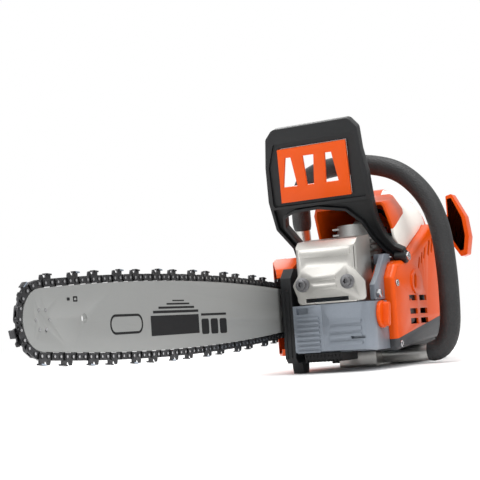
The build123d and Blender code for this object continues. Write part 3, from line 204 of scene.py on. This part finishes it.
def makeFinishGroup(settings):
    group, source, sink = newGroup(
        "surfaceFinish",
        [("Color", "Color", (0.5, 0.5, 0.5, 1)), ("Tint", "Color", (0.4, 0.4, 0.4, 1)),
         ("Tint Amount", "Float", 0.2), ("Stretch", "Vector", (1, 1, 1)),
         ("Grain Scale", "Float", 900.0), ("Grain Depth", "Float", 0.1),
         ("Cloud Scale", "Float", 12.0), ("Roughness", "Float", 0.4), ("Roughness Swing", "Float", 0.1)],
        [("Color", "Color"), ("Roughness", "Float"), ("Normal", "Vector")])
    where = group.nodes.new("ShaderNodeTexCoord")
    stretch = group.nodes.new("ShaderNodeVectorMath")
    stretch.operation = "MULTIPLY"
    group.links.new(where.outputs["Object"], stretch.inputs[0])
    group.links.new(source.outputs["Stretch"], stretch.inputs[1])
    grain = group.nodes.new("ShaderNodeTexNoise")
    grain.inputs["Detail"].default_value = settings["grainDetail"]
    group.links.new(stretch.outputs[0], grain.inputs["Vector"])
    group.links.new(source.outputs["Grain Scale"], grain.inputs["Scale"])
    cloud = group.nodes.new("ShaderNodeTexNoise")
    cloud.inputs["Detail"].default_value = settings["cloudDetail"]
    cloud.inputs["Roughness"].default_value = settings["cloudRoughness"]
    group.links.new(where.outputs["Object"], cloud.inputs["Vector"])
    group.links.new(source.outputs["Cloud Scale"], cloud.inputs["Scale"])
    both = addMath(group, "MULTIPLY", cloud.outputs["Fac"], grain.outputs["Fac"])
    gained = addMath(group, "MULTIPLY", both, settings["tintGain"])
    amount = addMath(group, "MULTIPLY", gained, source.outputs["Tint Amount"])
    mix = group.nodes.new("ShaderNodeMix")
    mix.data_type = "RGBA"
    group.links.new(amount, mix.inputs["Factor"])
    group.links.new(source.outputs["Color"], mix.inputs[6])
    group.links.new(source.outputs["Tint"], mix.inputs[7])
    group.links.new(mix.outputs[2], sink.inputs["Color"])
    swing = addMath(group, "MULTIPLY", addMath(group, "SUBTRACT", cloud.outputs["Fac"], 0.5),
                    source.outputs["Roughness Swing"])
    group.links.new(addMath(group, "ADD", swing, source.outputs["Roughness"]), sink.inputs["Roughness"])
    bump = group.nodes.new("ShaderNodeBump")
    bump.inputs["Distance"].default_value = settings["bumpDistance"]
    group.links.new(source.outputs["Grain Depth"], bump.inputs["Strength"])
    group.links.new(grain.outputs["Fac"], bump.inputs["Height"])
    group.links.new(bump.outputs["Normal"], sink.inputs["Normal"])
    return group


# raised pebbles of moulded rubber
pebbleNoise = {"cloudScale": 40, "wornShare": 0.9, "roughnessRise": 0.3, "roughness": 0.42, "bumpDistance": 0.0006}


def makePebbleGroup(settings):
    group, source, sink = newGroup(
        "pebbledRubber",
        [("Color", "Color", (0.03, 0.03, 0.03, 1)), ("Worn Color", "Color", (0.06, 0.06, 0.06, 1)),
         ("Pebble Scale", "Float", 420.0), ("Depth", "Float", 0.6)],
        [("Color", "Color"), ("Roughness", "Float"), ("Normal", "Vector")])
    where = group.nodes.new("ShaderNodeTexCoord")
    pebbles = group.nodes.new("ShaderNodeTexVoronoi")
    pebbles.feature = "SMOOTH_F1"
    group.links.new(where.outputs["Object"], pebbles.inputs["Vector"])
    group.links.new(source.outputs["Pebble Scale"], pebbles.inputs["Scale"])
    cloud = group.nodes.new("ShaderNodeTexNoise")
    cloud.inputs["Scale"].default_value = settings["cloudScale"]
    group.links.new(where.outputs["Object"], cloud.inputs["Vector"])
    mix = group.nodes.new("ShaderNodeMix")
    mix.data_type = "RGBA"
    worn = addMath(group, "MULTIPLY", cloud.outputs["Fac"], settings["wornShare"])
    group.links.new(worn, mix.inputs["Factor"])
    group.links.new(source.outputs["Color"], mix.inputs[6])
    group.links.new(source.outputs["Worn Color"], mix.inputs[7])
    group.links.new(mix.outputs[2], sink.inputs["Color"])
    rise = addMath(group, "MULTIPLY", pebbles.outputs["Distance"], settings["roughnessRise"])
    group.links.new(addMath(group, "ADD", rise, settings["roughness"]), sink.inputs["Roughness"])
    bump = group.nodes.new("ShaderNodeBump")
    bump.invert = True
    bump.inputs["Distance"].default_value = settings["bumpDistance"]
    group.links.new(source.outputs["Depth"], bump.inputs["Strength"])
    group.links.new(pebbles.outputs["Distance"], bump.inputs["Height"])
    group.links.new(bump.outputs["Normal"], sink.inputs["Normal"])
    return group


finishGroup = makeFinishGroup(finishNoise)
pebbleGroup = makePebbleGroup(pebbleNoise)

finishes = {
    "orange_plastic": {"color": (0.70, 0.080, 0.002), "tint": (0.62, 0.066, 0.002), "tintAmount": 0.35,
                       "grain": 1400, "depth": 0.05, "roughness": 0.30, "swing": 0.10, "specular": 0.22},
    "white_plastic": {"color": (0.93, 0.90, 0.84), "tint": (0.82, 0.79, 0.72), "tintAmount": 0.35,
                      "grain": 1400, "depth": 0.05, "roughness": 0.32, "swing": 0.10, "coat": 0.2},
    "black_plastic": {"color": (0.0035, 0.004, 0.0045), "tint": (0.013, 0.014, 0.016), "tintAmount": 0.4,
                      "grain": 1700, "depth": 0.25, "roughness": 0.44, "swing": 0.14, "specular": 0.35},
    "dark_grey_plastic": {"color": (0.028, 0.030, 0.034), "tint": (0.045, 0.048, 0.052), "tintAmount": 0.5,
                          "grain": 1700, "depth": 0.25, "roughness": 0.5, "swing": 0.12},
    "grey_plastic": {"color": (0.16, 0.18, 0.21), "tint": (0.11, 0.125, 0.15), "tintAmount": 0.5,
                     "grain": 1500, "depth": 0.12, "roughness": 0.32, "swing": 0.12, "coat": 0.3},
    "soft_rubber": {"color": (0.003, 0.003, 0.0035), "tint": (0.012, 0.012, 0.012), "tintAmount": 0.5,
                    "grain": 1200, "depth": 0.3, "roughness": 0.6, "swing": 0.12, "specular": 0.3},
    "grey_magnesium": {"color": (0.235, 0.262, 0.300), "tint": (0.165, 0.188, 0.220), "tintAmount": 0.55,
                       "grain": 1300, "depth": 0.16, "metallic": 0.45, "roughness": 0.36, "swing": 0.16},
    "cast_aluminium": {"color": (0.42, 0.42, 0.41), "tint": (0.22, 0.22, 0.21), "tintAmount": 0.6,
                       "grain": 800, "depth": 0.5, "metallic": 0.9, "roughness": 0.48, "swing": 0.2},
    "bare_aluminium": {"color": (0.62, 0.61, 0.585), "tint": (0.42, 0.42, 0.41), "tintAmount": 0.4,
                       "grain": 900, "depth": 0.1, "metallic": 1.0, "roughness": 0.30, "swing": 0.16,
                       "stretch": (1, 0.12, 1)},
    "nickel_shield": {"color": (0.66, 0.645, 0.61), "tint": (0.44, 0.43, 0.405), "tintAmount": 0.55,
                      "grain": 1000, "depth": 0.10, "metallic": 0.95, "roughness": 0.33, "swing": 0.2},
    "bar_steel": {"color": (0.285, 0.29, 0.283), "tint": (0.245, 0.25, 0.245), "tintAmount": 0.5,
                  "grain": 1500, "depth": 0.06, "metallic": 0.3, "roughness": 0.42, "swing": 0.10},
    "chain_steel": {"color": (0.075, 0.075, 0.078), "tint": (0.028, 0.028, 0.030), "tintAmount": 0.7,
                    "grain": 900, "depth": 0.2, "metallic": 0.9, "roughness": 0.30, "swing": 0.2},
    "chain_bright": {"color": (0.52, 0.60, 0.70), "tint": (0.20, 0.24, 0.30), "tintAmount": 0.7,
                     "grain": 900, "depth": 0.1, "metallic": 1.0, "roughness": 0.24, "swing": 0.2},
    "dark_steel": {"color": (0.24, 0.24, 0.25), "tint": (0.12, 0.12, 0.12), "tintAmount": 0.5,
                   "grain": 900, "depth": 0.12, "metallic": 0.95, "roughness": 0.36, "swing": 0.16},
    "bright_steel": {"color": (0.55, 0.55, 0.56), "tint": (0.36, 0.36, 0.37), "tintAmount": 0.4,
                     "grain": 900, "depth": 0.06, "metallic": 1.0, "roughness": 0.22, "swing": 0.12},
    "filter_felt": {"color": (0.50, 0.48, 0.40), "tint": (0.32, 0.30, 0.25), "tintAmount": 0.8,
                    "grain": 1800, "depth": 0.8, "roughness": 0.9, "swing": 0.05},
    "rope_fibre": {"color": (0.55, 0.55, 0.50), "tint": (0.08, 0.08, 0.08), "tintAmount": 0.8,
                   "grain": 700, "depth": 0.8, "roughness": 0.85, "swing": 0.05},
    "plug_ceramic": {"color": (0.72, 0.72, 0.70), "tint": (0.55, 0.55, 0.53), "tintAmount": 0.2,
                     "grain": 1200, "depth": 0.03, "roughness": 0.15, "swing": 0.05},
    "print_black": {"color": (0.008, 0.008, 0.009), "tint": (0.02, 0.02, 0.02), "tintAmount": 0.3,
                    "grain": 1500, "depth": 0.05, "roughness": 0.5, "swing": 0.1, "specular": 0.12},
}


coatRoughness = 0.2


def makeFinish(name, look):
    material = bpy.data.materials.new(name)
    material.use_nodes = True
    tree = material.node_tree
    shader = tree.nodes["Principled BSDF"]
    finish = tree.nodes.new("ShaderNodeGroup")
    finish.node_tree = finishGroup
    finish.inputs["Color"].default_value = (*look["color"], 1)
    finish.inputs["Tint"].default_value = (*look["tint"], 1)
    finish.inputs["Tint Amount"].default_value = look["tintAmount"]
    finish.inputs["Stretch"].default_value = look.get("stretch", (1, 1, 1))
    finish.inputs["Grain Scale"].default_value = look["grain"]
    finish.inputs["Grain Depth"].default_value = look["depth"]
    finish.inputs["Roughness"].default_value = look["roughness"]
    finish.inputs["Roughness Swing"].default_value = look["swing"]
    shader.inputs["Metallic"].default_value = look.get("metallic", 0)
    shader.inputs["Coat Weight"].default_value = look.get("coat", 0)
    shader.inputs["Coat Roughness"].default_value = coatRoughness
    shader.inputs["Specular IOR Level"].default_value = look.get("specular", 0.5)
    for output, socket in (("Color", "Base Color"), ("Roughness", "Roughness"), ("Normal", "Normal")):
        tree.links.new(finish.outputs[output], shader.inputs[socket])
    return material


gripRubber = {"color": (0.006, 0.006, 0.0065), "worn": (0.022, 0.023, 0.024), "scale": 560, "depth": 0.8}


def makePebbledRubber(look):
    material = bpy.data.materials.new("grip_rubber")
    material.use_nodes = True
    tree = material.node_tree
    shader = tree.nodes["Principled BSDF"]
    pebbles = tree.nodes.new("ShaderNodeGroup")
    pebbles.node_tree = pebbleGroup
    pebbles.inputs["Color"].default_value = (*look["color"], 1)
    pebbles.inputs["Worn Color"].default_value = (*look["worn"], 1)
    pebbles.inputs["Pebble Scale"].default_value = look["scale"]
    pebbles.inputs["Depth"].default_value = look["depth"]
    for output, socket in (("Color", "Base Color"), ("Roughness", "Roughness"), ("Normal", "Normal")):
        tree.links.new(pebbles.outputs[output], shader.inputs[socket])
    return material


materials = {name: makeFinish(name, look) for name, look in finishes.items()}
materials["grip_rubber"] = makePebbledRubber(gripRubber)
print("materials ready:", len(materials))

# nodes whose finish differs from their slot's
otherFinishes = {"nose_rivets": "bright_steel"}
for nodeName, cadObject in frame["nodes"].items():
    cadObject.data.materials.clear()
    cadObject.data.materials.append(materials[otherFinishes.get(nodeName, nodeSlots[nodeName])])


# modelling helpers
def deselectAll():
    if bpy.context.object and bpy.context.object.mode != "OBJECT":
        bpy.ops.object.mode_set(mode="OBJECT")
    bpy.ops.object.select_all(action="DESELECT")


def activate(piece):
    deselectAll()
    piece.select_set(True)
    bpy.context.view_layer.objects.active = piece


def applyModifiers(piece):
    activate(piece)
    for modifier in list(piece.modifiers):
        bpy.ops.object.modifier_apply(modifier=modifier.name)


# applies the place, then gives the piece its finish, shading and body
def settle(piece, body, finish, smoothAngle=35):
    applyModifiers(piece)
    bpy.ops.object.transform_apply(location=True, rotation=True, scale=True)
    piece.data.materials.clear()
    piece.data.materials.append(materials[finish])
    bpy.ops.object.shade_smooth_by_angle(angle=math.radians(smoothAngle))
    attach(piece, body)
    return piece


# the CAD node's mesh, merged and with its flat faces joined, as a new piece
cleaning = {"mergeWithin": 0.00001, "flatWithin": 0.6}


def copyNode(node, name):
    piece = frame["nodes"][node].copy()
    piece.data = piece.data.copy()
    piece.name = name
    piece.parent = None
    scene.collection.objects.link(piece)
    for key in [key for key in piece.keys() if key.startswith("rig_")]:
        del piece[key]
    activate(piece)
    bpy.ops.object.mode_set(mode="EDIT")
    bpy.ops.mesh.select_all(action="SELECT")
    bpy.ops.mesh.remove_doubles(threshold=cleaning["mergeWithin"])
    bpy.ops.mesh.customdata_custom_splitnormals_clear()
    bpy.ops.mesh.dissolve_limited(angle_limit=math.radians(cleaning["flatWithin"]))
    bpy.ops.object.mode_set(mode="OBJECT")
    return piece


def roundEdges(piece, width, segments=3, angle=38):
    bevel = piece.modifiers.new("roundEdges", "BEVEL")
    bevel.width = width
    bevel.segments = segments
    bevel.limit_method = "ANGLE"
    bevel.angle_limit = math.radians(angle)
    bevel.harden_normals = False


# casings and covers: the CAD shapes with moulded edges
softened = {
    "crankcase_left": 0.0016, "crankcase_right": 0.0011, "starter_cover": 0.0012, "top_cover": 0.0011,
    "cover_panel": 0.0011, "clutch_cover": 0.0014, "clutch_housing": 0.0012, "rear_handle": 0.0022,
    "hand_guard": 0.0012, "guard_insert": 0.0006, "muffler_shield": 0.0007, "muffler_body": 0.0010,
    "cylinder_shroud": 0.0012, "starter_grip": 0.0018, "handle_bracket": 0.0016, "front_pad": 0.0004,
    "oil_cap": 0.0007, "fuel_cap": 0.0007, "throttle_trigger": 0.0014, "trigger_lockout": 0.0014,
    "stop_switch": 0.0008, "choke_knob": 0.0010, "cylinder": 0.0005, "guide_bar": 0.0003,
    "screws_and_pins": 0.0003, "bar_nuts": 0.0005, "plug_boot": 0.0012,
}


def softenCasings(widths):
    for node, width in widths.items():
        piece = copyNode(node, "soft_" + node)
        roundEdges(piece, width)
        settle(piece, nodeBodies[node], nodeSlots[node], smoothAngle=40)
        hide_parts(node)
        print("softened", node, len(piece.data.polygons))


softenCasings(softened)

# the muffler bolts are darker than the other bright steel
mufflerBolts = {"edge": 0.0004, "finish": "dark_steel"}
bolts = copyNode("muffler_bolts", "soft_muffler_bolts")
roundEdges(bolts, mufflerBolts["edge"])
settle(bolts, nodeBodies["muffler_bolts"], mufflerBolts["finish"])
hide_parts("muffler_bolts")


# front handle: one smooth tube with its pebbled grip; the route is in mm
frontHandle = {
    "route": [(20, 32, 12), (20, -62, 12), (20, -84, 14), (20, -97, 34), (20, -99, 80), (20, -98, 120),
              (20, -95, 158), (20, -82, 197), (20, -52, 230), (20, -14, 243), (20, 24, 246), (24, 56, 243),
              (32, 78, 234), (48, 93, 210), (60, 98, 184), (64.5, 98, 150), (66, 97, 112), (68, 90, 88),
              (72, 74, 70), (76, 50, 62)],
    "tubeRadius": 0.0095,
    "gripRadius": 0.0120,
    "gripRings": (0.150, 0.800),
    "gripEnds": (0.86, 0.96),
    "rings": 150,
    "sides": 32,
}


def smoothRoute(points, rings):
    curveData = bpy.data.curves.new("handleRoute", "CURVE")
    curveData.dimensions = "3D"
    spline = curveData.splines.new("NURBS")
    spline.points.add(len(points) - 1)
    for spot, place in zip(spline.points, points):
        spot.co = (*[value / 1000 for value in place], 1)
    spline.order_u = 3
    spline.use_endpoint_u = True
    curveData.resolution_u = 12
    holder = bpy.data.objects.new("handleRoute", curveData)
    scene.collection.objects.link(holder)
    bpy.context.view_layer.update()
    line = bpy.data.meshes.new_from_object(holder)
    fine = [vertex.co.copy() for vertex in line.vertices]
    bpy.data.objects.remove(holder)
    bpy.data.meshes.remove(line)
    lengths = [0.0]
    for before, after in zip(fine, fine[1:]):
        lengths.append(lengths[-1] + (after - before).length)
    spots, segment = [], 0
    for ring in range(rings + 1):
        goal = lengths[-1] * ring / rings
        while segment < len(fine) - 2 and lengths[segment + 1] < goal:
            segment += 1
        share = (goal - lengths[segment]) / max(lengths[segment + 1] - lengths[segment], 1e-9)
        spots.append(fine[segment].lerp(fine[segment + 1], min(max(share, 0), 1)))
    return spots


def sweepTube(name, spots, radii, sides):
    build = bmesh.new()
    loops = []
    across = Vector((1, 0, 0))
    for index, spot in enumerate(spots):
        ahead = (spots[min(index + 1, len(spots) - 1)] - spots[max(index - 1, 0)]).normalized()
        across = (across - ahead * across.dot(ahead)).normalized()
        over = ahead.cross(across)
        loop = []
        for side in range(sides):
            angle = 2 * math.pi * side / sides
            offset = (across * math.cos(angle) + over * math.sin(angle)) * radii[index]
            loop.append(build.verts.new(spot + offset))
        loops.append(loop)
    for first, second in zip(loops, loops[1:]):
        for side in range(sides):
            after = (side + 1) % sides
            build.faces.new((first[side], first[after], second[after], second[side]))
    build.faces.new(loops[0][::-1])
    build.faces.new(loops[-1])
    bmesh.ops.recalc_face_normals(build, faces=build.faces)
    mesh = bpy.data.meshes.new(name)
    build.to_mesh(mesh)
    build.free()
    piece = bpy.data.objects.new(name, mesh)
    scene.collection.objects.link(piece)
    return piece


def makeFrontHandle(settings):
    spots = smoothRoute(settings["route"], settings["rings"])
    tube = sweepTube("handleTube", spots, [settings["tubeRadius"]] * len(spots), settings["sides"])
    settle(tube, "powerhead", "bare_aluminium")
    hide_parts("front_handle")
    first, last = [round(share * settings["rings"]) for share in settings["gripRings"]]
    gripSpots = spots[first:last + 1]
    radius, count = settings["gripRadius"], len(gripSpots)
    radii = [radius] * count
    for index, share in enumerate(settings["gripEnds"]):
        radii[index] = radii[-1 - index] = radius * share
    grip = sweepTube("handleGrip", gripSpots, radii, settings["sides"])
    settle(grip, "powerhead", "grip_rubber")
    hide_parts("handle_grip")
    print("front handle made:", count, "grip rings")


makeFrontHandle(frontHandle)


# a flat printed or moulded plate: outline points in one plane, thickened outwards
def makePlate(name, points, thickness, body, finish, hole=None, corner=0.0):
    build = bmesh.new()
    face = build.faces.new([build.verts.new(point) for point in points])
    build.normal_update()
    if corner:
        bmesh.ops.bevel(build, geom=list(build.verts), offset=corner,
                        segments=6, profile=0.5, affect="VERTICES")
        face = list(build.faces)[0]
    if hole:
        bmesh.ops.inset_region(build, faces=[face], thickness=hole, use_boundary=True)
        bmesh.ops.delete(build, geom=[face], context="FACES_ONLY")
    mesh = bpy.data.meshes.new(name)
    build.to_mesh(mesh)
    build.free()
    piece = bpy.data.objects.new(name, mesh)
    scene.collection.objects.link(piece)
    wall = piece.modifiers.new("wall", "SOLIDIFY")
    wall.thickness = thickness
    wall.offset = 1
    return settle(piece, body, finish)


# printed shapes on the bar's near face
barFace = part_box("guide_bar")[0].y
barPrint = {
    "thickness": 0.00012,
    "shapes": [
        {"name": "printPill", "x": (-0.4600, -0.4073), "z": (0.0568, 0.0742), "corner": 0.0084, "line": 0.0021},
        {"name": "printBox", "x": (-0.3937, -0.3042), "z": (0.0535, 0.0717), "corner": 0.0006},
        {"name": "printStripeA", "x": (-0.3890, -0.3042), "z": (0.0738, 0.0762), "corner": 0.0004},
        {"name": "printStripeB", "x": (-0.3790, -0.3120), "z": (0.0778, 0.0798), "corner": 0.0004},
        {"name": "printStripeC", "x": (-0.3640, -0.3210), "z": (0.0814, 0.0830), "corner": 0.0004},
        {"name": "printStripeD", "x": (-0.3530, -0.3310), "z": (0.0846, 0.0858), "corner": 0.0004},
        {"name": "printBlockA", "x": (-0.2990, -0.2840), "z": (0.0520, 0.0670), "corner": 0.0024},
        {"name": "printBlockB", "x": (-0.2800, -0.2650), "z": (0.0518, 0.0668), "corner": 0.0024},
        {"name": "printBlockC", "x": (-0.2610, -0.2460), "z": (0.0516, 0.0666), "corner": 0.0024},
        {"name": "printBlockD", "x": (-0.2990, -0.2460), "z": (0.0700, 0.0722), "corner": 0.0006},
        {"name": "printMarkA", "x": (-0.5205, -0.5165), "z": (0.0865, 0.0890), "corner": 0.0008},
        {"name": "printMarkB", "x": (-0.5120, -0.5060), "z": (0.0855, 0.0900), "corner": 0.0008, "line": 0.0013},
    ],
}


def printBar(settings):
    for shape in settings["shapes"]:
        (left, right), (low, high) = shape["x"], shape["z"]
        points = [(left, barFace, low), (right, barFace, low), (right, barFace, high), (left, barFace, high)]
        makePlate(shape["name"], points, settings["thickness"], "powerhead", "print_black",
                  hole=shape.get("line"), corner=shape["corner"])
    print("bar print made")


printBar(barPrint)


# black inset in the orange starter grip; the outline is in mm
gripInset = {
    "x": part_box("starter_grip")[0].x,
    "outline": [(-66.5, 153), (-66.5, 170), (-77.5, 178), (-77.5, 200), (-83, 201), (-94.5, 175), (-97, 152),
                (-94, 134), (-89.5, 133), (-81, 148)],
    "thickness": 0.0009,
    "corner": 0.0012,
}
makePlate("starterGripInset", [(gripInset["x"], y / 1000, z / 1000) for y, z in gripInset["outline"]],
          gripInset["thickness"], "starter_grip_body", "black_plastic", corner=gripInset["corner"])


# starter rope from the pulley to the grip; the route is in mm
starterRope = {
    "route": [(0, -55, 93.5), (40, -55, 115), (80, -55, 136.8), (108, -55, 152), (114, -56, 155.5),
              (119, -59, 158.8), (121, -62, 160), (121, -64, 160), (121, -66, 160), (121, -68, 160),
              (121, -70, 160), (121, -72, 160), (121, -74, 160)],
    "radius": 0.0017,
    "sides": 12,
    "smoothAngle": 50,
    "leaves": (0.121, -0.0640, 0.160),
    "joins": (0.121, -0.0735, 0.160),
}


def makeStarterRope(settings):
    spots = [Vector(point) / 1000 for point in settings["route"]]
    rope = sweepTube("starterRope", spots, [settings["radius"]] * len(spots), settings["sides"])
    applyModifiers(rope)
    rope.data.materials.append(materials["rope_fibre"])
    bpy.ops.object.shade_smooth_by_angle(angle=math.radians(settings["smoothAngle"]))
    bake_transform(rope)
    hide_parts("starter_rope")
    print("starter rope made")


makeStarterRope(starterRope)


# chain: bevelled links, bright rivet heads and blue-bright cutter plates
chainLook = {
    "centre": (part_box("drive_links")[0].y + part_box("drive_links")[1].y) / 2,
    "rivetFrom": 0.00240,
    "plateFrom": 0.00265,
    "rivetRim": 0.0008,
    "edge": 0.00022,
    "edgeAngle": 50,
    "smoothAngle": 30,
    "facing": 0.9,
}


def makeChain(settings):
    for node in ("drive_links", "tie_straps", "cutters"):
        links = copyNode(node, "chain_" + node)
        roundEdges(links, settings["edge"], segments=1, angle=settings["edgeAngle"])
        settle(links, "powerhead", "chain_steel", smoothAngle=settings["smoothAngle"])
        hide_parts(node)
        links.data.materials.append(materials["bright_steel"])
        links.data.materials.append(materials["chain_bright"])
        if node == "drive_links":
            continue
        rivets = []
        for face in links.data.polygons:
            reach = abs(face.center.y - settings["centre"])
            if reach > settings["plateFrom"]:
                face.material_index = 2
            elif reach > settings["rivetFrom"] and abs(face.normal.y) > settings["facing"]:
                rivets.append(face.index)
        activate(links)
        for parts in (links.data.polygons, links.data.edges, links.data.vertices):
            parts.foreach_set("select", [False] * len(parts))
        for index in rivets:
            links.data.polygons[index].select = True
        bpy.ops.object.mode_set(mode="EDIT")
        bpy.ops.mesh.select_mode(type="FACE")
        bpy.ops.mesh.inset(thickness=settings["rivetRim"], use_individual=True)
        bpy.ops.object.mode_set(mode="OBJECT")
        for face in links.data.polygons:
            if face.select:
                face.material_index = 1
    print("chain made")


makeChain(chainLook)


# the starter cover's lower band is dark grey, below a line that rises to the rear
coverBand = {"front": (-0.079, 0.030), "rear": (0.117, 0.056)}


def paintCoverBand(settings):
    cover = bpy.data.objects["soft_starter_cover"]
    (x0, z0), (x1, z1) = settings["front"], settings["rear"]
    normal = Vector((-(z1 - z0), 0, x1 - x0)).normalized()
    activate(cover)
    bpy.ops.object.mode_set(mode="EDIT")
    bpy.ops.mesh.select_all(action="SELECT")
    bpy.ops.mesh.bisect(plane_co=(x0, 0, z0), plane_no=normal)
    bpy.ops.object.mode_set(mode="OBJECT")
    cover.data.materials.append(materials["dark_grey_plastic"])
    for face in cover.data.polygons:
        if (face.center - Vector((x0, 0, z0))).dot(normal) < 0:
            face.material_index = 1
    print("cover band painted")


paintCoverBand(coverBand)
